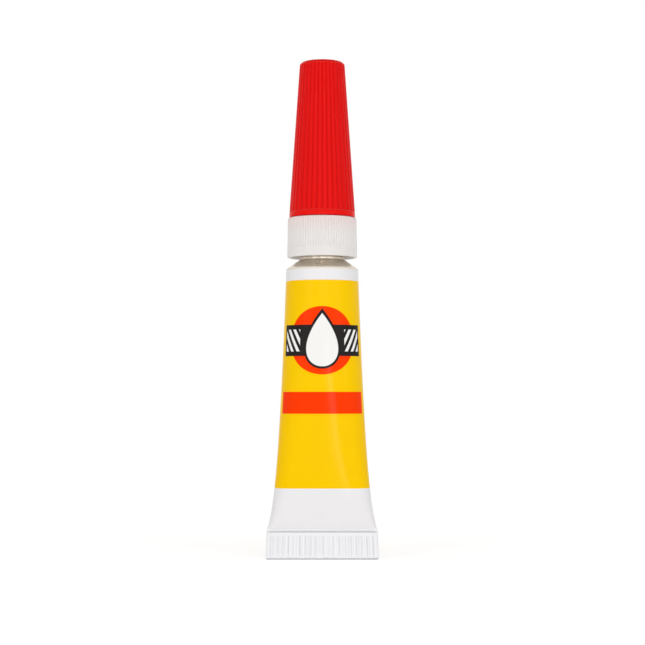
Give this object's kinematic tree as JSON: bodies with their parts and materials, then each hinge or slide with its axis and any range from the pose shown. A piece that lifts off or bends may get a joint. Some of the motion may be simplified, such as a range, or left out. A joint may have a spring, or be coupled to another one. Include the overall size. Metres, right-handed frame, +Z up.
{
  "type": "super glue tube",
  "caption": "Small collapsible metal glue tube with a flat crimped tail, a ribbed screw-on nozzle that pierces the neck's membrane, and a long ribbed tapered cap with a clog-clearing pin.",
  "frame": {"origin": "under the middle of the tube, on the plane that the crimped tail stands on", "axes": "+Z up the tube's axis towards the cap, +X along the crimp, front of the tube towards -Y"},
  "size_m": [0.0198, 0.0126, 0.0875],
  "materials": {
    "enamel_print": "gloss enamel and print over thin aluminium",
    "enamel_white": "gloss white enamel, crimped",
    "bare_aluminium": "bare, satin",
    "sealing_compound": "dull",
    "liquid_glue": "clear liquid",
    "nozzle_plastic": "natural white, slightly translucent",
    "cap_plastic": "semi-gloss moulded red",
    "pin_steel": "drawn wire"
  },
  "bodies": {
    "tube": {"tube_wall": "enamel_print", "tail_fold": "enamel_white", "fold_sealant": "sealing_compound", "adhesive": "liquid_glue", "tube_shoulder": "bare_aluminium", "seal_membrane": "bare_aluminium"},
    "spout": {"nozzle_spout": "nozzle_plastic"},
    "collar": {"nozzle_collar": "nozzle_plastic"},
    "pin": {"cap_pin": "pin_steel"},
    "cap": {"cap": "cap_plastic"}
  },
  "joints": [
    {"name": "nozzle_advance", "type": "slide", "parent": "tube", "child": "spout", "axis": [0, 0, 1], "range_m": [-0.00125, 0.00375], "deforming": ["seal_membrane"]},
    {"name": "collar_turn", "type": "hinge", "parent": "spout", "child": "collar", "pos_m": [0, 0, 0.0564], "axis": [0, 0, 1], "range_deg": [-360, 1080]},
    {"name": "cap_lift", "type": "slide", "parent": "spout", "child": "pin", "axis": [0, 0, 1], "range_m": [0, 0.03]},
    {"name": "cap_turn", "type": "hinge", "parent": "pin", "child": "cap", "pos_m": [0, 0, 0.0865], "axis": [0, 0, 1], "continuous": true}
  ],
  "couplings": [
    {"joint": "collar_turn", "follows": "nozzle_advance", "rad_per_m": 5026.5}
  ]
}
